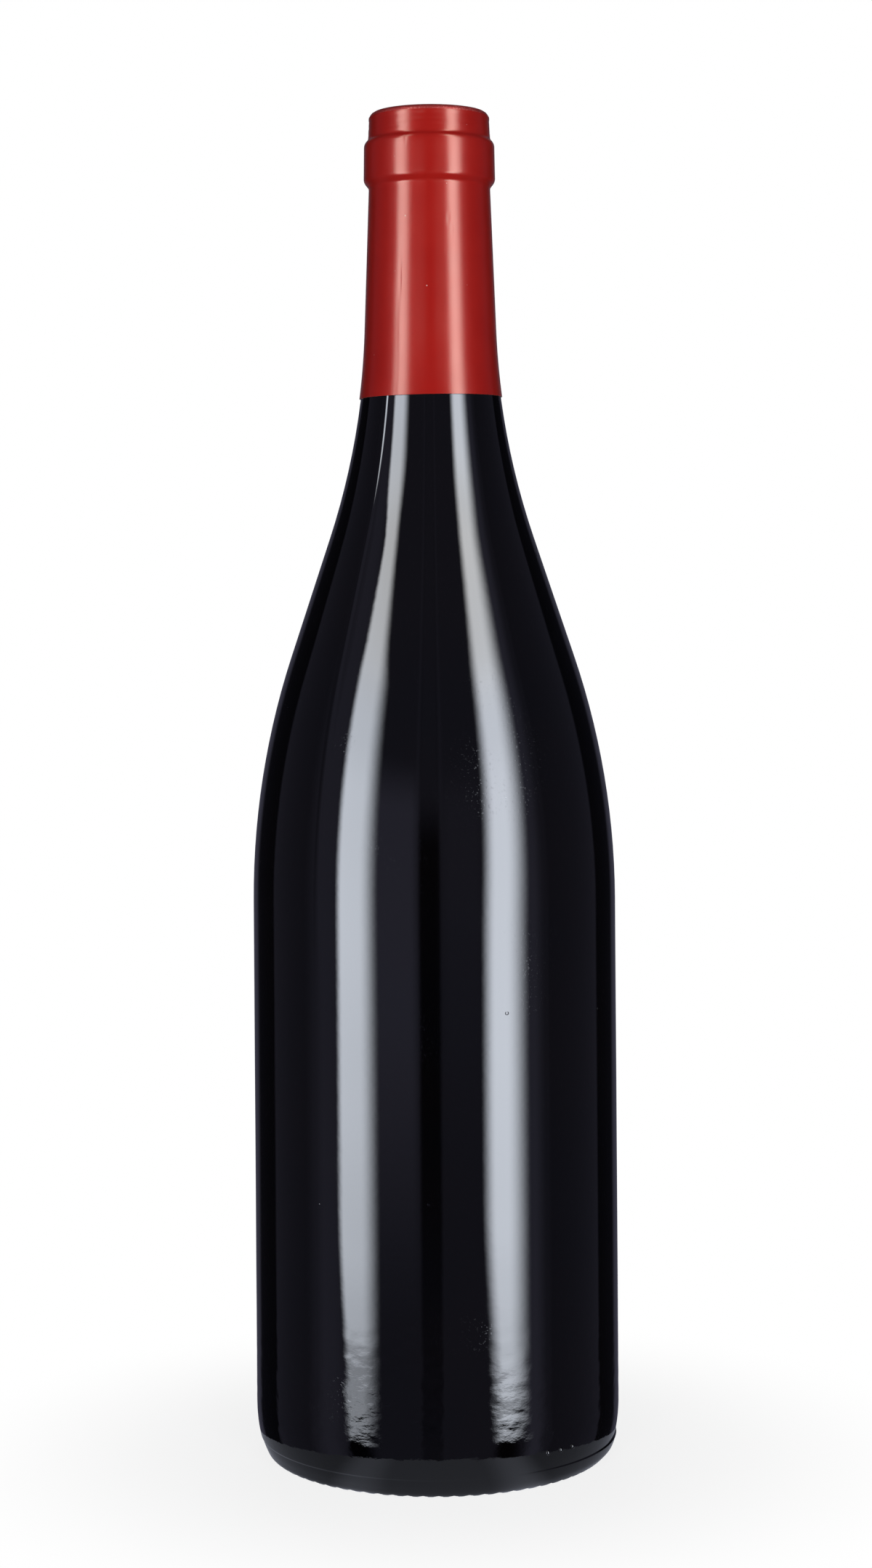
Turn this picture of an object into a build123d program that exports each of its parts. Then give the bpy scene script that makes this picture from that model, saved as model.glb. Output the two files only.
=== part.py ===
"""Full wine bottle with sloping shoulders, shut by a cork and a red capsule.

The bottle stands on z = 0 with its axis on +Z and its front towards -Y. Opaque dark glass, wine and
cork are one solid, since nothing behind the glass shows. The capsule over the mouth is two thin
pieces: a skirt round the neck and a disc over the top.
"""

from build123d import *
from math import atan2, cos, radians, sin, sqrt, tan
import os

# ---------- Driving dimensions, millimetres and degrees ----------

# Body
body_d = 80.3  # outside diameter of the straight wall
bottle_h = 296.6  # standing face to the rim of the mouth, without the capsule

# Shoulder and neck
shoulder_r = 171.0  # convex bend from the wall into the flank
throat_r = 165.5  # hollow bend from the flank into the neck
flank_h = 75.0  # height between the corners that those two bends round off
neck_h = 55.4  # from the throat's corner up to the collar
neck_d = 26.4  # diameter just under the collar
neck_taper = 2.1  # slope of the neck's side

# Finish: the collar that a seal grips, and the lip above it
collar_out = 1.13  # how far the collar stands out from the neck
collar_in = 0.12  # how far it draws in towards its top
collar_rise = 1.4  # height of the slope under it
collar_h = 8.1  # height of its band
collar_r = 1.5  # rounding of its corners
lip_in = 0.9  # how far the lip stands back from the collar
lip_drop = 1.0  # height of the slope between the two
lip_h = 5.9  # height of the lip
lip_taper = 3.2  # slope of the lip's side
rim_r = 1.2  # rounding of the mouth's edge

# Base
heel_rise = 12.0  # height of the rounded heel
heel_in = 3.75  # how far the heel draws in
land_w = 5.4  # standing ring, from the heel in to the punt's corner
punt_rise = 18.0  # depth of the hollow under the base
punt_flat = 11.0  # radius of its crown before rounding
punt_crown_r = 24.0  # rounding of the crown
punt_crown_share = 0.95  # the most of the crown's flat that this rounding may use up
punt_mouth_r = 5.0  # rounding where the hollow meets the standing ring

# Knurl round the outer edge of the standing ring
knurl_count = 72
knurl_r = 1.1  # radius of each round-bottomed notch
knurl_deep = 0.45
knurl_in = 1.5  # how far each notch reaches in from the heel
knurl_out = 3.0  # how far it may run out through the heel

# Row of raised mould dots on the heel, to the right of the front
dot_count = 3
dot_d = 1.1
dot_proud = 0.4
dot_z = 7.9
dot_middle = 40.7  # angle of the middle dot from the front
dot_step = 5.1  # angle from one dot to the next

# Capsule
foil_t = 0.3  # thickness of the capsule
skirt_h = 63.1  # from the mouth down to the skirt's lower edge, on the axis
skirt_lean_side = 0.6  # the edge was pressed on askew: it dips to the left by this angle
skirt_lean_front = 0.85  # and to the front by this one
disc_rim = 1.2  # how far the disc's rounded edge reaches down from the top

# ---------- Sizes that follow ----------

body_r = body_d / 2
foot_r = body_r - heel_in
punt_r = foot_r - land_w
punt_slope = atan2(punt_rise, punt_r - punt_flat)
crown_r = min(punt_crown_r, punt_crown_share * punt_flat / tan(punt_slope / 2))
collar_z = bottle_h - lip_h - lip_drop - collar_h - collar_rise
root_z = collar_z - neck_h
shoulder_z = root_z - flank_h
neck_r = neck_d / 2
root_r = neck_r + neck_h * tan(radians(neck_taper))
band_r = neck_r + collar_out
band_top_r = band_r - collar_in
lip_r = band_top_r - lip_in
mouth_r = lip_r - lip_h * tan(radians(lip_taper))


def heel_radius(z):
    """Outside radius of the rounded heel at height z."""
    return foot_r + heel_in * sqrt(1 - (1 - z / heel_rise) ** 2)


# ---------- Half section of the bottle, in the XZ plane ----------

with BuildSketch(Plane.XZ) as section:
    with BuildLine():
        FilletPolyline(
            (0, punt_rise),
            (punt_flat, punt_rise),
            (punt_r, 0),
            (foot_r, 0),
            radius=[crown_r, punt_mouth_r],
        )
        EllipticalCenterArc(
            (foot_r, heel_rise), heel_in, heel_rise, start_angle=270, arc_size=90
        )
        FilletPolyline(
            (body_r, heel_rise),
            (body_r, shoulder_z),
            (root_r, root_z),
            (neck_r, collar_z),
            (band_r, collar_z + collar_rise),
            (band_top_r, collar_z + collar_rise + collar_h),
            (lip_r, bottle_h - lip_h),
            (mouth_r, bottle_h),
            (0, bottle_h),
            radius=[shoulder_r, throat_r, *4 * [collar_r], rim_r],
        )
        Line((0, bottle_h), (0, punt_rise))
    make_face()

# ---------- Bottle: dark glass, with the wine and cork it holds ----------

with BuildPart() as bottle:
    add(section.sketch)
    revolve(axis=Axis.Z)

    # Notches of the knurl, lying like the spokes of a wheel
    notch_length = knurl_in + knurl_out
    notch_middle = foot_r - knurl_in + notch_length / 2
    with Locations((0, 0, knurl_deep - knurl_r)):
        with PolarLocations(notch_middle, knurl_count):
            Cylinder(knurl_r, notch_length, rotation=(0, 90, 0), mode=Mode.SUBTRACT)

    # Mould dots, each the cap of a ball sunk in the heel
    ball_r = ((dot_d / 2) ** 2 + dot_proud**2) / (2 * dot_proud)
    ball_at = heel_radius(dot_z) + dot_proud - ball_r
    for number in range(dot_count):
        turn = radians(dot_middle + dot_step * (number - (dot_count - 1) / 2))
        outwards = Vector(sin(turn), -cos(turn), 0)
        with Locations(Plane(outwards * ball_at + (0, 0, dot_z), z_dir=outwards)):
            Sphere(ball_r)

bottle.part.label = "bottle"

# ---------- Capsule: the bottle's own section, wrapped in foil ----------

foil_top = bottle_h + foil_t
skirt_z = bottle_h - skirt_h
clip_z = skirt_z - band_r  # safely below the askew edge

with BuildSketch(Plane.XZ) as upper_section:
    add(section.sketch_local)
    with Locations((0, clip_z)):
        Rectangle(
            body_d, foil_top, align=(Align.MIN, Align.MIN), mode=Mode.INTERSECT
        )

with BuildSketch(Plane.XZ) as foil_section:
    add(upper_section.sketch_local)
    offset(amount=foil_t)
    add(upper_section.sketch_local, mode=Mode.SUBTRACT)
    with Locations((0, clip_z + foil_t)):
        Rectangle(
            body_d, foil_top, align=(Align.MIN, Align.MIN), mode=Mode.INTERSECT
        )

edge_plane = Plane(
    origin=(0, 0, skirt_z),
    z_dir=(-tan(radians(skirt_lean_side)), -tan(radians(skirt_lean_front)), 1),
)
join_plane = Plane.XY.offset(foil_top - disc_rim)

with BuildPart() as capsule_skirt:
    add(foil_section.sketch)
    revolve(axis=Axis.Z)
    split(bisect_by=edge_plane, keep=Keep.TOP)
    split(bisect_by=join_plane, keep=Keep.BOTTOM)

capsule_skirt.part.label = "capsule_skirt"

with BuildPart() as capsule_disc:
    add(foil_section.sketch)
    revolve(axis=Axis.Z)
    split(bisect_by=join_plane, keep=Keep.TOP)

capsule_disc.part.label = "capsule_disc"

# ---------- Export ----------

os.makedirs("parts", exist_ok=True)
export_step(bottle.part, "parts/bottle.step")
export_step(capsule_skirt.part, "parts/capsule_skirt.step")
export_step(capsule_disc.part, "parts/capsule_disc.step")
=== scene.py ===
from math import atan2, ceil, cos, hypot, pi, radians, sin, sqrt, tan

import bmesh
import bpy
from mathutils import Matrix, Vector, noise


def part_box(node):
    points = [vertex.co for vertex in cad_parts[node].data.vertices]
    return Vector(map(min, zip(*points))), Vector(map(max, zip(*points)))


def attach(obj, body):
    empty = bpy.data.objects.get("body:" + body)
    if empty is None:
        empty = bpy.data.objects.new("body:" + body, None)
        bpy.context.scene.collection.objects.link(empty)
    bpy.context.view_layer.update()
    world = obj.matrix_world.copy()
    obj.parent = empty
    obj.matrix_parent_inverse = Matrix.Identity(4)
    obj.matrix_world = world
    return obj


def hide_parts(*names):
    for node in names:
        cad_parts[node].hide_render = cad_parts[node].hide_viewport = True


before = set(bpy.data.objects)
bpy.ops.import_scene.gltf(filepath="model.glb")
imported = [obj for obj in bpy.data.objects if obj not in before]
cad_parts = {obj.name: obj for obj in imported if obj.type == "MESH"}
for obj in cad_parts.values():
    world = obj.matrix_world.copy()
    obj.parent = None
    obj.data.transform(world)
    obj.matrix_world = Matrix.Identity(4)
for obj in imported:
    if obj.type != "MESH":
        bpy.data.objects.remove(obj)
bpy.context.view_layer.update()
MM = 0.001

# ----------------------------------------------------------------------------
# The bottle: dark soda glass, blown into a two-part mould, full of red wine.
# It is one body turned about its axis, with the marks that the mould leaves:
# a seam up each side, a ring where the base plate met, and a knurled foot.
# ----------------------------------------------------------------------------

bottle_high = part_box("bottle")[1]
body_r = bottle_high.x
bottle_h = bottle_high.z

# The same outline as the construction's
heel_in, heel_rise = 3.75 * MM, 12 * MM
land_w = 5.4 * MM
punt_rise, punt_flat = 18 * MM, 11 * MM
punt_crown_r, punt_mouth_r = 24 * MM, 5 * MM
neck_r, neck_h = 13.2 * MM, 55.4 * MM
neck_taper, lip_taper = radians(2.1), radians(3.2)
flank_h = 75 * MM
shoulder_round, throat_round = 171 * MM, 165.5 * MM
collar_out, collar_in = 1.13 * MM, 0.12 * MM
collar_rise, collar_h, collar_round = 1.4 * MM, 8.1 * MM, 1.5 * MM
lip_in, lip_drop, lip_h = 0.9 * MM, 1.0 * MM, 5.9 * MM
rim_round = 1.2 * MM

foot_r = body_r - heel_in
collar_z = bottle_h - lip_h - lip_drop - collar_h - collar_rise
root_z = collar_z - neck_h
shoulder_z = root_z - flank_h
root_r = neck_r + neck_h * tan(neck_taper)
band_r = neck_r + collar_out
lip_r = band_r - collar_in - lip_in
mouth_r = lip_r - lip_h * tan(lip_taper)


least_in_bend = 4  # points on the tightest bend


def rounded_line(corners, step):
    """Points from the first corner to the last, rounded at each (out, up, rounding) between them."""
    spots = [Vector(corner[:2]) for corner in corners]
    line = [spots[0]]
    for before, spot, after, corner in zip(spots, spots[1:], spots[2:], corners[1:]):
        back, on = (before - spot).normalized(), (after - spot).normalized()
        bend = pi - back.angle(on)
        start = spot + back * corner[2] * tan(bend / 2)
        middle = spot + (back + on).normalized() * corner[2] / cos(bend / 2)
        spoke = start - middle
        swing = spoke.angle_signed(spot + on * corner[2] * tan(bend / 2) - middle)
        count = max(least_in_bend, ceil(bend * corner[2] / step))
        add_run(line, start, step)
        for k in range(1, count + 1):
            line.append(middle + Matrix.Rotation(-swing * k / count, 2) @ spoke)
    add_run(line, spots[-1], step)
    return line


def add_run(line, end, step):
    """Adds a straight run to the end of a line, with points no further apart than step."""
    start = line[-1]
    count = max(1, ceil((end - start).length / step))
    line += [start.lerp(end, k / count) for k in range(1, count + 1)]


def turned(line, columns):
    """A mesh turned about the axis from a line of (out, up), starting at the front."""
    mesh = bmesh.new()
    spots = [mesh.verts.new((0, -out, up)) for out, up in line]
    edges = [mesh.edges.new(pair) for pair in zip(spots, spots[1:])]
    bmesh.ops.spin(
        mesh, geom=spots + edges, axis=(0, 0, 1), angle=2 * pi, steps=columns, use_merge=True
    )
    bmesh.ops.remove_doubles(mesh, verts=mesh.verts, dist=0.001 * MM)
    bmesh.ops.recalc_face_normals(mesh, faces=mesh.faces)
    return mesh


def finished(name, mesh, material):
    """The object made from a mesh, riding on the part's one body."""
    data = bpy.data.meshes.new(name)
    mesh.to_mesh(data)
    mesh.free()
    data.shade_smooth()
    data.materials.append(material)
    thing = bpy.data.objects.new(name, data)
    bpy.context.scene.collection.objects.link(thing)
    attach(thing, "root")
    return thing


def eased(value, low, high):
    """From 0 at low to 1 at high, without a corner."""
    share = min(max((value - low) / (high - low), 0), 1)
    return share * share * (3 - 2 * share)


wall_step, low_step, hollow_step = 4 * MM, 0.8 * MM, 2.5 * MM
low_top = 45 * MM
heel_steps, joint_steps = 36, 12
joint_near = (0.50, 0.59)
columns = 432

base_line = rounded_line(
    [
        (0, punt_rise),
        (punt_flat, punt_rise, punt_crown_r),
        (foot_r - land_w, 0, punt_mouth_r),
        (foot_r, 0),
    ],
    hollow_step,
)
heel_shares = {k / heel_steps for k in range(1, heel_steps + 1)}
joint_from, joint_to = joint_near
heel_shares |= {joint_from + (joint_to - joint_from) * k / joint_steps for k in range(joint_steps)}
heel_line = [
    Vector((foot_r + heel_in * sin(a), heel_rise * (1 - cos(a))))
    for a in (pi / 2 * share for share in sorted(heel_shares))
]
add_run(heel_line, Vector((body_r, low_top)), low_step)
upper_corners = [
    (body_r, low_top),
    (body_r, shoulder_z, shoulder_round),
    (root_r, root_z, throat_round),
    (neck_r, collar_z, collar_round),
    (band_r, collar_z + collar_rise, collar_round),
    (band_r - collar_in, collar_z + collar_rise + collar_h, collar_round),
    (lip_r, bottle_h - lip_h, collar_round),
    (mouth_r, bottle_h, rim_round),
    (0, bottle_h),
]
upper_line = rounded_line(upper_corners, wall_step)
glass_mesh = turned(base_line + heel_line + upper_line[1:], columns)

# Marks of the mould: the seam, the joint with its base plate, and the knurl
seam_turns = (radians(-38.125), radians(141.875))
seam_h, seam_w = 0.12 * MM, 0.5 * MM
seam_least, seam_fade = 0.12, (105 * MM, 150 * MM)
joint_z, joint_w = 4.2 * MM, 0.18 * MM
joint_out, joint_in, joint_turn = 0.42 * MM, 0.16 * MM, radians(113)
foot_low, foot_high = 0.5 * MM, 2 * MM
knurl_count, knurl_round, knurl_deep = 72, 1.1 * MM, 0.45 * MM
knurl_start, knurl_fade = foot_r - 1.5 * MM, 0.7 * MM
# Waves of the blown wall, and dimples low down where the glass met a cooler mould
wave_h, wave_long = 0.03 * MM, 26 * MM
dimple_h, dimple_long, dimple_z = 0.026 * MM, 2.8 * MM, (18 * MM, 42 * MM)

for spot in glass_mesh.verts:
    x, y, z = spot.co
    out, turn = hypot(x, y), atan2(x, -y)
    if out < neck_r or z > collar_z:
        continue
    swell = 0
    if z > foot_low and out > foot_r:
        seam_share = seam_least + (1 - seam_least) * eased(z, *seam_fade)
        for seam_turn in seam_turns:
            away = abs(turn - seam_turn) * out
            swell += seam_h * max(0, 1 - away / seam_w) * seam_share
        below = eased(z, foot_low, foot_high)
        below *= 1 - eased(z, joint_z - joint_w, joint_z + joint_w)
        askew = cos(turn - joint_turn)
        swell += below * askew * (joint_out if askew > 0 else joint_in)
    elif z > foot_low:
        away = min(abs(turn - seam_turn) for seam_turn in seam_turns) * out
        swell += seam_h * max(0, 1 - away / seam_w)
    swell -= wave_h * (1 + noise.noise(spot.co / wave_long)) * eased(z, heel_rise, 3 * heel_rise) / 2
    dimple = 1 + noise.noise(Vector((x, y, 1.7 * z)) / dimple_long)
    swell -= dimple_h * dimple * (1 - eased(z, *dimple_z)) * eased(z, joint_z, heel_rise)
    spot.co.x += swell * x / out
    spot.co.y += swell * y / out
    if z < knurl_deep and out > knurl_start - knurl_fade:
        pitch = 2 * pi / knurl_count
        away = abs((turn + pitch / 2) % pitch - pitch / 2) * out
        notch = sqrt(max(0, knurl_round**2 - away**2)) - (knurl_round - knurl_deep)
        spot.co.z = max(z, notch * eased(out, knurl_start - knurl_fade, knurl_start))


def node_material(name):
    """A material with nodes, its tree and its shader."""
    material = bpy.data.materials.new(name)
    material.use_nodes = True
    tree = material.node_tree
    return material, tree, tree.nodes["Principled BSDF"]


def wire(tree, kind, inputs=(), **settings):
    """A new node with its settings and inputs, each input a value or another node's output."""
    node = tree.nodes.new(kind)
    for name, value in settings.items():
        setattr(node, name, value)
    for name, value in dict(inputs).items():
        if isinstance(value, bpy.types.NodeSocket):
            tree.links.new(value, node.inputs[name])
        else:
            node.inputs[name].default_value = value
    return node


def noise_of(tree, size, detail=2, rough=0.5, squash=(1, 1, 1)):
    """Noise in the object's own space with patches about as large as size."""
    place = wire(tree, "ShaderNodeTexCoord").outputs["Object"]
    place = wire(tree, "ShaderNodeMapping", {"Vector": place, "Scale": squash}).outputs[0]
    inputs = {"Vector": place, "Scale": 1 / size, "Detail": detail, "Roughness": rough}
    return wire(tree, "ShaderNodeTexNoise", inputs).outputs["Fac"]


def spread(tree, value, low, high, to_low=0, to_high=1, smooth=True):
    """Maps a value from one range to another, and stops at its ends."""
    inputs = {"Value": value, "From Min": low, "From Max": high, "To Min": to_low, "To Max": to_high}
    kind = "SMOOTHSTEP" if smooth else "LINEAR"
    return wire(tree, "ShaderNodeMapRange", inputs, interpolation_type=kind).outputs[0]


def sums(tree, operation, a, b=0.0, c=0.0):
    """A sum of two or three values."""
    return wire(tree, "ShaderNodeMath", {0: a, 1: b, 2: c}, operation=operation).outputs[0]


def blended(tree, factor, a, b):
    """Colour a turning to colour b."""
    node = wire(tree, "ShaderNodeMix", data_type="RGBA")
    for socket, value in ((node.inputs[0], factor), (node.inputs[6], a), (node.inputs[7], b)):
        if isinstance(value, bpy.types.NodeSocket):
            tree.links.new(value, socket)
        else:
            socket.default_value = value
    return node.outputs[2]


def specks(tree, spacing, size, share, seed):
    """1 in small round specks, in a share of the cells of that spacing."""
    place = wire(tree, "ShaderNodeTexCoord").outputs["Object"]
    moved = {"Vector": place, "Location": (seed, seed, seed)}
    place = wire(tree, "ShaderNodeMapping", moved).outputs[0]
    cells = wire(tree, "ShaderNodeTexVoronoi", {"Vector": place, "Scale": 1 / spacing})
    near = spread(tree, cells.outputs["Distance"], size / spacing, 0.6 * size / spacing)
    tint = wire(tree, "ShaderNodeSeparateColor", {"Color": cells.outputs["Color"]}).outputs[0]
    return sums(tree, "MULTIPLY", near, sums(tree, "LESS_THAN", tint, share))


glass, tree, shader = node_material("dark_glass")
height = wire(
    tree, "ShaderNodeSeparateXYZ", {0: wire(tree, "ShaderNodeTexCoord").outputs["Object"]}
).outputs["Z"]
low_down = spread(tree, height, 38 * MM, 14 * MM)
tint = spread(tree, noise_of(tree, 40 * MM), 0.35, 0.65)
deep = blended(tree, tint, (0.0006, 0.0006, 0.0010, 1), (0.0011, 0.0008, 0.0010, 1))
dust = specks(tree, 5 * MM, 0.13 * MM, 0.09, 0.31)
shader.inputs["IOR"].default_value = 1.5
tree.links.new(blended(tree, dust, deep, (0.30, 0.31, 0.33, 1)), shader.inputs["Base Color"])

# Dried drops and finger marks that dull the gloss
drops = specks(tree, 8 * MM, 0.5 * MM, 0.14, 0.77)
handled = spread(tree, noise_of(tree, 22 * MM), 0.56, 0.66)
prints = sums(tree, "MULTIPLY", handled, spread(tree, noise_of(tree, 0.5 * MM), 0.60, 0.68))
dull = sums(tree, "MAXIMUM", drops, prints)
dull = sums(tree, "MAXIMUM", dull, dust)
gloss = spread(tree, noise_of(tree, 12 * MM), 0.3, 0.7, 0.02, 0.045)
tree.links.new(sums(tree, "MULTIPLY_ADD", dull, 0.16, gloss), shader.inputs["Roughness"])

# Orange peel all over, and pits low down, where the glass met a cooler mould
peel_h, pit_h, drop_h, print_h = 0.003 * MM, 0.024 * MM, 0.027 * MM, 0.0015 * MM
peel = noise_of(tree, 1.7 * MM, detail=1)
pits = noise_of(tree, 2.1 * MM, detail=3, rough=0.5, squash=(1, 1, 1.7))
pits = sums(tree, "MULTIPLY", low_down, pits)
relief = sums(tree, "MULTIPLY_ADD", pits, pit_h / peel_h, peel)
relief = sums(tree, "MULTIPLY_ADD", drops, drop_h / peel_h, relief)
relief = sums(tree, "MULTIPLY_ADD", prints, print_h / peel_h, relief)
bump = wire(tree, "ShaderNodeBump", {"Height": relief, "Distance": peel_h, "Strength": 1.0})
tree.links.new(bump.outputs[0], shader.inputs["Normal"])

bottle = finished("bottle_glass", glass_mesh, glass)
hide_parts("bottle")

# ----------------------------------------------------------------------------
# The mould dots: three small domes of the same glass that stand out of the
# heel, where the mould was drilled with its number.
# ----------------------------------------------------------------------------

dot_r, dot_proud, dot_z = 0.55 * MM, 0.4 * MM, 7.9 * MM
dot_turns = [radians(angle) for angle in (35.6, 40.7, 45.8)]
dot_seat = foot_r + heel_in * sqrt(1 - (1 - dot_z / heel_rise) ** 2)

dots_mesh = bmesh.new()
for turn in dot_turns:
    dome = bmesh.ops.create_uvsphere(dots_mesh, u_segments=24, v_segments=16, radius=dot_r)["verts"]
    bmesh.ops.scale(dots_mesh, vec=(1, 1, dot_proud / dot_r), verts=dome)
    bmesh.ops.rotate(dots_mesh, matrix=Matrix.Rotation(pi / 2, 3, "X"), verts=dome)
    bmesh.ops.translate(dots_mesh, vec=(0, -dot_seat, dot_z), verts=dome)
    bmesh.ops.rotate(dots_mesh, matrix=Matrix.Rotation(turn, 3, "Z"), verts=dome)
finished("mould_dots", dots_mesh, glass)

# ----------------------------------------------------------------------------
# The capsule's skirt: a sleeve of satin red film, shrunk over the collar and
# neck so that it follows them. Its lap runs down the left of the front, and
# its lower edge was pressed on a little askew.
# ----------------------------------------------------------------------------

skirt_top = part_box("capsule_skirt")[1].z
film_t, film_gap = 0.3 * MM, 0.05 * MM
skirt_z = 233.5 * MM
skirt_slope_side, skirt_slope_front = tan(radians(0.6)), tan(radians(0.85))
skirt_step, brow_step, brow_h = 0.9 * MM, 0.3 * MM, 7 * MM
skirt_columns, sharp_edge = 360, radians(45)


def wrapped(line, distance):
    """A line moved outwards by a distance, square to its runs."""
    moved = []
    for before, spot, after in zip(line[:1] + line, line, line[1:] + line[-1:]):
        along = (after - before).normalized()
        moved.append(spot + Vector((along.y, -along.x)) * distance)
    return moved


def kept_above(line, height):
    """The points of a line from a height upwards."""
    return [spot for spot in line if spot.y > height]


brow_z = bottle_h - brow_h
film_low = skirt_z - 3 * MM  # under the lowest of the askew edge
film_line = kept_above(rounded_line(upper_corners, skirt_step), film_low)
film_line = [spot for spot in film_line if spot.y < brow_z]
film_line += kept_above(rounded_line(upper_corners, brow_step), brow_z)
skirt_mesh = turned(wrapped(film_line, film_t), skirt_columns)

lap_turn, lap_step, lap_reach, lap_long = radians(-29), 0.022 * MM, radians(8), 11 * MM
lap_wander, lap_soft = radians(1.6), radians(3)
lap_top = 252 * MM, 266 * MM
bead_h, bead_drop = 0.09 * MM, 0.9 * MM
crease_h, crease_long = 0.02 * MM, 14 * MM
brow_creases = (
    # height below the mouth, depth
    (3.3 * MM, 0.07 * MM),
    (4.5 * MM, 0.05 * MM),
)
brow_crease_w, brow_wander = 0.45 * MM, 0.5 * MM
pleats = (
    # angle from the front, height, half width as an angle, half height
    (radians(-21.0), 289.6 * MM, radians(1.6), 1.6 * MM),
    (radians(17.5), 271.6 * MM, radians(3.0), 0.9 * MM),
    (radians(21.0), 269.5 * MM, radians(1.5), 2.2 * MM),
    (radians(-27.0), 259.0 * MM, radians(1.8), 7.0 * MM),
)
pleat_h = 0.045 * MM
for spot in skirt_mesh.verts:
    x, y, z = spot.co
    out, turn = hypot(x, y), atan2(x, -y)
    if out < lip_r / 2:
        continue
    lap = lap_turn + lap_wander * noise.noise(Vector((0, 7, z / lap_long)))
    lapped = (1 - eased(turn, lap, lap + lap_soft)) * eased(turn, lap - lap_reach, lap)
    swell = -lap_step * lapped * (1 - eased(z, *lap_top))
    swell -= crease_h * (0.5 + 0.5 * noise.noise(Vector((x, y, z / 2)) / crease_long))
    for drop, depth in brow_creases:
        wander = brow_wander * noise.noise(Vector((turn * 1.5, drop / MM, 0.5)))
        share = 0.5 + noise.noise(Vector((turn * 3, drop / MM, 4.5)))
        swell -= depth * share * max(0, 1 - abs(z - bottle_h + drop + wander) / brow_crease_w)
    for pleat_turn, pleat_z, pleat_wide, pleat_high in pleats:
        nearness = 1 - hypot((turn - pleat_turn) / pleat_wide, (z - pleat_z) / pleat_high)
        swell -= pleat_h * eased(nearness, 0, 1)
    swell += bead_h * eased(z, skirt_top - bead_drop, skirt_top - bead_drop / 3)
    spot.co.x += swell * x / out
    spot.co.y += swell * y / out

everything = skirt_mesh.verts[:] + skirt_mesh.edges[:] + skirt_mesh.faces[:]
bmesh.ops.bisect_plane(
    skirt_mesh,
    geom=everything,
    plane_co=(0, 0, skirt_z),
    plane_no=(skirt_slope_side, skirt_slope_front, -1),
    clear_outer=True,
)
everything = skirt_mesh.verts[:] + skirt_mesh.edges[:] + skirt_mesh.faces[:]
bmesh.ops.bisect_plane(
    skirt_mesh, geom=everything, plane_co=(0, 0, skirt_top), plane_no=(0, 0, 1), clear_outer=True
)
bmesh.ops.solidify(skirt_mesh, geom=skirt_mesh.faces[:], thickness=film_t - film_gap)

capsule, tree, shader = node_material("capsule_film")
mottle = spread(tree, noise_of(tree, 9 * MM, detail=3), 0.3, 0.7)
red = blended(tree, mottle, (0.348, 0.0066, 0.0042, 1), (0.366, 0.0082, 0.0052, 1))
lint = specks(tree, 2.3 * MM, 0.17 * MM, 0.22, 0.13)
tree.links.new(blended(tree, lint, red, (0.72, 0.52, 0.48, 1)), shader.inputs["Base Color"])
satin = spread(tree, noise_of(tree, 5 * MM, detail=3), 0.3, 0.7, 0.205, 0.225)
tree.links.new(satin, shader.inputs["Roughness"])
shader.inputs["IOR"].default_value = 1.5
shader.inputs["Specular IOR Level"].default_value = 0.48
shader.inputs["Specular Tint"].default_value = (1.0, 0.83, 0.66, 1)
shader.inputs["Sheen Weight"].default_value = 0.12
shader.inputs["Sheen Roughness"].default_value = 0.3
shader.inputs["Sheen Tint"].default_value = (1.0, 0.72, 0.60, 1)
grain = noise_of(tree, 0.3 * MM, detail=2)
bump = wire(tree, "ShaderNodeBump", {"Height": grain, "Distance": 0.006 * MM, "Strength": 1.0})
tree.links.new(bump.outputs[0], shader.inputs["Normal"])

skirt = finished("capsule_sleeve", skirt_mesh, capsule)
skirt.data.set_sharp_from_angle(angle=sharp_edge)
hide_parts("capsule_skirt")

# ----------------------------------------------------------------------------
# The capsule's top: a disc of lacquered red foil, set over the mouth before
# the sleeve shrank round it, so that its rolled rim shows above the sleeve.
# ----------------------------------------------------------------------------

disc_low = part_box("capsule_disc")[0]
disc_line = [spot for spot in wrapped(rounded_line(upper_corners, 0.5 * MM), film_t) if spot.y > 0]
disc_line = kept_above(disc_line, disc_low.z - 1 * MM)
disc_line[-1].x = 0
disc_mesh = turned(disc_line, skirt_columns)
everything = disc_mesh.verts[:] + disc_mesh.edges[:] + disc_mesh.faces[:]
bmesh.ops.bisect_plane(
    disc_mesh, geom=everything, plane_co=(0, 0, disc_low.z), plane_no=(0, 0, -1), clear_outer=True
)
dent_h, dent_long, dent_rim = 0.05 * MM, 2.2 * MM, 2 * MM
for spot in disc_mesh.verts:
    dent = dent_h * (0.5 + 0.5 * noise.noise(spot.co / dent_long))
    away = hypot(spot.co.x, spot.co.y)
    spot.co.z -= dent * (1 - eased(away, mouth_r - dent_rim, mouth_r))
bmesh.ops.solidify(disc_mesh, geom=disc_mesh.faces[:], thickness=film_t - film_gap)

foil, tree, shader = node_material("capsule_foil")
flakes = spread(tree, noise_of(tree, 0.4 * MM, detail=3, rough=0.65), 0.50, 0.72)
patches = spread(tree, noise_of(tree, 4 * MM), 0.42, 0.62)
bright = sums(tree, "MULTIPLY", flakes, sums(tree, "MULTIPLY_ADD", patches, 0.6, 0.4))
tree.links.new(
    blended(tree, bright, (0.30, 0.017, 0.014, 1), (0.62, 0.19, 0.16, 1)), shader.inputs["Base Color"]
)
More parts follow.
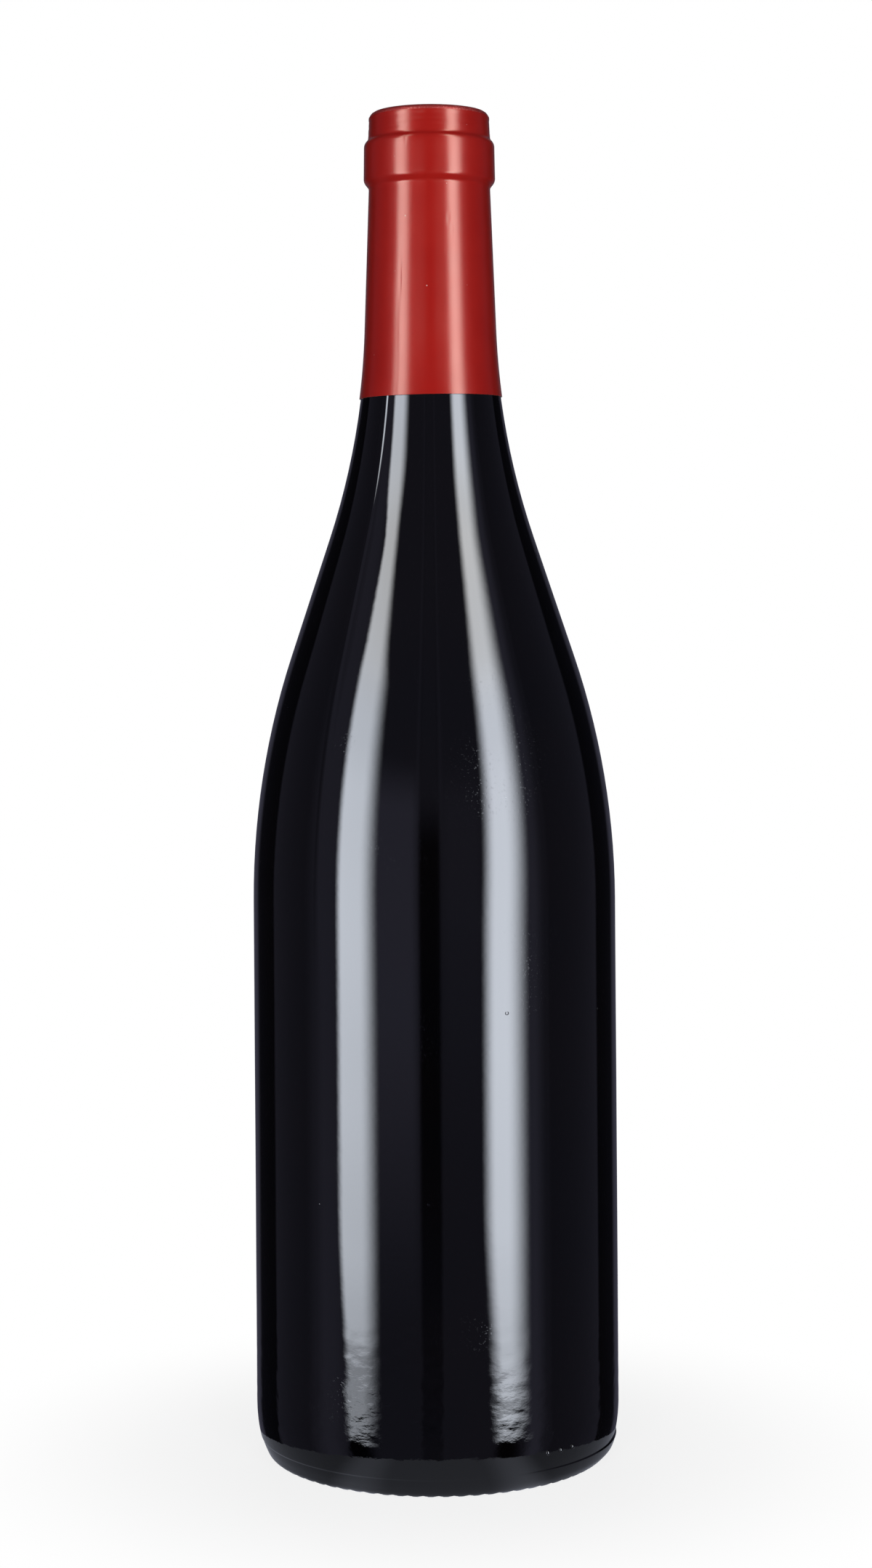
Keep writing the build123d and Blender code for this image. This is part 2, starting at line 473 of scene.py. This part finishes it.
# Its rolled rim is polished and its flat is dull
place = wire(tree, "ShaderNodeTexCoord").outputs["Object"]
level_place = {0: place, 1: (1, 1, 0)}
level_place = wire(tree, "ShaderNodeVectorMath", level_place, operation="MULTIPLY").outputs[0]
outwards = wire(tree, "ShaderNodeVectorMath", {0: level_place}, operation="LENGTH").outputs["Value"]
flat = spread(tree, outwards, mouth_r - 0.8 * MM, mouth_r - 2.4 * MM)
tree.links.new(spread(tree, flat, 0, 1, 0.35, 0.0), shader.inputs["Metallic"])
polished = spread(tree, flakes, 0, 1, 0.45, 0.30)
tree.links.new(sums(tree, "MULTIPLY_ADD", flat, 0.5, polished), shader.inputs["Roughness"])
bump = wire(tree, "ShaderNodeBump", {"Height": flakes, "Distance": 0.02 * MM, "Strength": 0.6})
tree.links.new(bump.outputs[0], shader.inputs["Normal"])

disc = finished("capsule_cap", disc_mesh, foil)
disc.data.set_sharp_from_angle(angle=sharp_edge)
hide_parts("capsule_disc")

# ----------------------------------------------------------------------------
# The floor: pale and matt, fading to plain white away from the bottle, which
# throws its soft shadow there.
# ----------------------------------------------------------------------------

floor_r, round_segments = 14.0, 96
white_from, white_to, least_white = 0.036, 0.12, 0.84
pale_colour = (0.84, 0.85, 0.87, 1)


def staged(name, mesh, material):
    """An object of the studio, which isn't part of the bottle."""
    data = bpy.data.meshes.new(name)
    mesh.to_mesh(data)
    mesh.free()
    data.materials.append(material)
    thing = bpy.data.objects.new(name, data)
    bpy.context.scene.collection.objects.link(thing)
    return thing


def hidden_from(thing, *rays):
    """Some kinds of ray pass this object by."""
    for ray in rays:
        setattr(thing, "visible_" + ray, False)


def shown_by(tree, shader):
    """Ends a material in a shader."""
    tree.links.new(shader.outputs[0], tree.nodes["Material Output"].inputs["Surface"])


pale, tree, shader = node_material("pale_floor")
tree.nodes.remove(shader)
place = wire(tree, "ShaderNodeTexCoord").outputs["Object"]
far = wire(tree, "ShaderNodeVectorMath", {0: place}, operation="LENGTH").outputs["Value"]
rays = wire(tree, "ShaderNodeLightPath").outputs
seen = sums(tree, "MAXIMUM", rays["Is Camera Ray"], rays["Is Glossy Ray"])
seen = sums(tree, "MAXIMUM", seen, rays["Is Transmission Ray"])
fade = sums(tree, "MULTIPLY", seen, spread(tree, far, white_from, white_to, least_white, 1))
matt = wire(tree, "ShaderNodeBsdfDiffuse", {"Color": pale_colour})
plain = wire(tree, "ShaderNodeEmission", {"Color": (1, 1, 1, 1), "Strength": 1.0})
mixed = wire(tree, "ShaderNodeMixShader", {0: fade, 1: matt.outputs[0], 2: plain.outputs[0]})
shown_by(tree, mixed)

floor_mesh = bmesh.new()
bmesh.ops.create_circle(floor_mesh, cap_ends=True, segments=round_segments, radius=floor_r)
floor = staged("floor", floor_mesh, pale)
hidden_from(floor, "glossy", "shadow")

# ----------------------------------------------------------------------------
# The studio: two tall soft boxes that the glass mirrors as its two stripes,
# inside dark flags with paler panels beside the camera. Only mirrored rays
# meet them. Plain area lamps light the matt surfaces.
# ----------------------------------------------------------------------------

box_away = 0.7
box_low, box_high = -0.5, 1.3
low_glow, high_glow, glow_z = (0.845, 0.90, 1.0, 1), (1.0, 1.0, 1.0, 1), (0.42, 0.80)
# The lower left corner of each box is drawn in by this much, over these heights
foot_z, foot_in = (-0.165, -0.075), 0.055
boxes = {
    # name: angle from the front, width, soft edges at its left and right, lean to the right and
    # the heights that it leans between, how much narrower its head is and from which height,
    # brightness by height
    "left_box": (
        -48.7,
        29.7,
        (0.18, 0.45),
        (0.0, -0.1, 0.4),
        (0.62, 0.55, 0.70),
        (
            (-0.192, 0.0),
            (-0.166, 5.4),
            (-0.15, 4.9),
            (-0.125, 9.9),
            (-0.09, 11.4),
            (-0.02, 13.0),
            (0.05, 14.1),
            (0.28, 13.8),
            (0.42, 12.4),
            (0.55, 11.5),
            (0.7, 9.6),
        ),
    ),
    "right_box": (
        43.8,
        32.8,
        (0.30, 0.51),
        (0.028, -0.05, 0.35),
        (0.92, 0.60, 0.70),
        (
            (-0.196, 0.0),
            (-0.166, 6.9),
            (-0.145, 12.2),
            (-0.11, 13.9),
            (-0.08, 15.0),
            (0.0, 15.8),
            (0.29, 15.8),
            (0.43, 14.6),
            (0.53, 14.2),
            (0.65, 12.3),
        ),
    ),
}


def soft_box(name, angle, width, softness, leaning, narrowing, levels):
    """A tall glowing card with soft edges that faces the bottle, clear where it doesn't glow."""
    turn, half = radians(angle), box_away * tan(radians(width / 2))
    (soft_left, soft_right), (lean, lean_low, lean_high) = softness, leaning
    narrow, narrow_low, narrow_high = narrowing
    card_half = half + lean
    mesh = bmesh.new()
    bmesh.ops.create_grid(mesh, x_segments=1, y_segments=1, size=1)
    bmesh.ops.scale(mesh, vec=(card_half, (box_high - box_low) / 2, 1), verts=mesh.verts)
    bmesh.ops.rotate(mesh, matrix=Matrix.Rotation(pi / 2, 3, "X"), verts=mesh.verts)
    bmesh.ops.translate(mesh, vec=(0, -box_away, (box_high + box_low) / 2), verts=mesh.verts)
    bmesh.ops.rotate(mesh, matrix=Matrix.Rotation(turn, 3, "Z"), verts=mesh.verts)

    material, tree, shader = node_material(name + "_glow")
    tree.nodes.remove(shader)
    place = wire(tree, "ShaderNodeTexCoord").outputs["Object"]
    across = wire(
        tree, "ShaderNodeVectorMath", {0: place, 1: (cos(turn), sin(turn), 0)}, operation="DOT_PRODUCT"
    ).outputs["Value"]
    up = wire(tree, "ShaderNodeSeparateXYZ", {0: place}).outputs["Z"]
    across = sums(tree, "SUBTRACT", across, spread(tree, up, lean_low, lean_high, 0, lean))
    narrower = spread(tree, up, narrow_low, narrow_high, half, half * narrow)
    across = sums(tree, "DIVIDE", across, narrower)
    drawn_in = sums(tree, "SUBTRACT", across, spread(tree, up, *foot_z, foot_in / half, 0))
    left = spread(tree, drawn_in, -1, -1 + 2 * soft_left)
    right = spread(tree, across, 1, 1 - 2 * soft_right)
    level = levels[0][1]
    for (z, bright), (next_z, next_bright) in zip(levels, levels[1:]):
        level = sums(tree, "ADD", level, spread(tree, up, z, next_z, 0, next_bright - bright))
    inside = sums(tree, "MULTIPLY", left, right)
    glow_colour = blended(tree, spread(tree, up, *glow_z), low_glow, high_glow)
    glow = wire(tree, "ShaderNodeEmission", {"Color": glow_colour, "Strength": level}).outputs[0]
    clear = wire(tree, "ShaderNodeBsdfTransparent").outputs[0]
    shown_by(tree, wire(tree, "ShaderNodeMixShader", {0: inside, 1: clear, 2: glow}))
    card = staged(name, mesh, material)
    hidden_from(card, "camera", "diffuse", "shadow")


for name, settings in boxes.items():
    soft_box(name, *settings)

flags_r, flags_low, flags_high = 1.7, -2.0, 3.0
flags_colour = (0.70, 0.69, 1.0, 1)
panels = (
    # angles from the front between which a panel stands, its soft edge, heights, brightness
    (-121, -9.5, 1.5, (-2.0, 3.0), 0.105),
    (3.5, 122, 1.5, (-2.0, 3.0), 0.105),
    (-75, -9.5, 1.5, (-2.0, 3.0), 0.045),
    (3.5, 75, 1.5, (-2.0, 3.0), 0.045),
    (-10, 4, 1.5, (-2.0, -0.35), 0.08),
    (-82, -60, 8, (-2.0, 3.0), 0.16),
    (56, 68, 5, (-2.0, 3.0), 0.26),
    (-38, -11, 4, (-0.25, 0.6), 0.32),
    (5, 30, 6, (-0.15, 0.6), 0.07),
    (-10, 4, 3, (0.42, 3.0), 0.15),
    (-200, -150, 4, (-2.0, 3.0), 0.085),
    (150, 200, 4, (-2.0, 3.0), 0.085),
)
panel_soft_z, dark_level = 0.16, 0.015


def panelled(tree, turn, up, panels, soft_z):
    """Brightness by angle and height: the sum of the panels there."""
    level = dark_level
    for start, end, soft, (low, high), bright in panels:
        start, end, soft = radians(start), radians(end), radians(soft)
        from_left = spread(tree, turn, start - soft, start + soft)
        from_right = spread(tree, turn, end + soft, end - soft)
        from_low = spread(tree, up, low - soft_z, low + soft_z)
        from_high = spread(tree, up, high + soft_z, high - soft_z, 0, bright)
        panel = sums(tree, "MULTIPLY", from_left, from_right)
        panel = sums(tree, "MULTIPLY", panel, sums(tree, "MULTIPLY", from_low, from_high))
        level = sums(tree, "ADD", level, panel)
    return level


def mirrored_only(name, mesh, colour, panels, soft_z):
    """A card that only mirrored rays meet, with panels of light round the bottle."""
    material, tree, shader = node_material(name + "_panels")
    tree.nodes.remove(shader)
    place = wire(tree, "ShaderNodeTexCoord").outputs["Object"]
    parts = wire(tree, "ShaderNodeSeparateXYZ", {0: place}).outputs
    turn = sums(tree, "ARCTAN2", parts["X"], sums(tree, "MULTIPLY", parts["Y"], -1.0))
    level = panelled(tree, turn, parts["Z"], panels, soft_z)
    shown_by(tree, wire(tree, "ShaderNodeEmission", {"Color": colour, "Strength": level}))
    hidden_from(staged(name, mesh, material), "camera", "diffuse", "shadow")


flags_mesh = bmesh.new()
bmesh.ops.create_cone(
    flags_mesh,
    cap_ends=True,
    segments=round_segments,
    radius1=flags_r,
    radius2=flags_r,
    depth=flags_high - flags_low,
)
bmesh.ops.translate(flags_mesh, vec=(0, 0, (flags_high + flags_low) / 2), verts=flags_mesh.verts)
mirrored_only("flags", flags_mesh, flags_colour, panels, panel_soft_z)

# The table top near the foot, which the heel mirrors: a glowing card in its place, with its lit level
# and the boxes' pools of light painted into the glow
table_r, table_y = 0.048, -0.010
painted_table_tint = (0.86, 0.91, 1.08, 1)
# painted light: the table's even lit level, a brighter band in front, and two painted pools of the
# boxes' light
painted_table_light = (
    (-200, 200, 5, (-1, 1), 0.27),
    (-24, 24, 5, (-1, 1), 0.15),
    (-35, -22, 6, (-1, 1), 0.45),
    (23, 36, 6, (-1, 1), 0.55),
)
table_mesh = bmesh.new()
bmesh.ops.create_circle(table_mesh, cap_ends=True, segments=round_segments, radius=table_r)
bmesh.ops.translate(table_mesh, vec=(0, table_y, 0), verts=table_mesh.verts)
mirrored_only("table", table_mesh, painted_table_tint, painted_table_light, panel_soft_z)

lamps = {
    # name: angle from the front, height, distance, size, watts
    "key_left": (-18, 0.30, 1.2, 0.4, 5.4),
    "key_right": (20, 0.30, 1.2, 0.4, 5.9),
    "back_fill": (180, 0.9, 1.6, 1.0, 7.0),
}
for name, (angle, height, away, size, power) in lamps.items():
    data = bpy.data.lights.new(name, "AREA")
    data.size, data.energy = size, power
    lamp = bpy.data.objects.new(name, data)
    turn = radians(angle)
    lamp.location = (away * sin(turn), -away * cos(turn), height)
    aim = Vector((0, 0, bottle_h / 2)) - lamp.location
    lamp.rotation_euler = aim.to_track_quat("-Z", "Y").to_euler()
    bpy.context.scene.collection.objects.link(lamp)
    lamp.visible_glossy = False
    lamp.visible_camera = False

world = bpy.data.worlds.new("studio")
bpy.context.scene.world = world
world.use_nodes = True
tree = world.node_tree
rays = wire(tree, "ShaderNodeLightPath").outputs
direct = sums(tree, "MAXIMUM", rays["Is Camera Ray"], rays["Is Glossy Ray"])
direct = sums(tree, "MAXIMUM", direct, rays["Is Transmission Ray"])
air = wire(tree, "ShaderNodeBackground", {"Color": (1, 1, 1, 1), "Strength": 0.07})
white = wire(tree, "ShaderNodeBackground", {"Color": (1, 1, 1, 1), "Strength": 1.0})
mixed = wire(tree, "ShaderNodeMixShader", {0: direct, 1: air.outputs[0], 2: white.outputs[0]})
tree.links.new(mixed.outputs[0], tree.nodes["World Output"].inputs["Surface"])

# ----------------------------------------------------------------------------
# The camera: level, a little above the bottle's middle, and turned by a
# fraction of a degree so that the bottle leans to the left.
# ----------------------------------------------------------------------------

camera_place = (0.0008, -0.6468, 0.1853)
camera_roll = radians(0.4024)
camera_data = bpy.data.cameras.new("camera")
camera_data.lens = 66.73
camera_data.shift_y = -0.108
camera = bpy.data.objects.new("camera", camera_data)
camera.location = camera_place
camera.rotation_euler = (pi / 2, camera_roll, 0)
bpy.context.scene.collection.objects.link(camera)
bpy.context.scene.camera = camera
bpy.context.scene.view_settings.view_transform = "Standard"
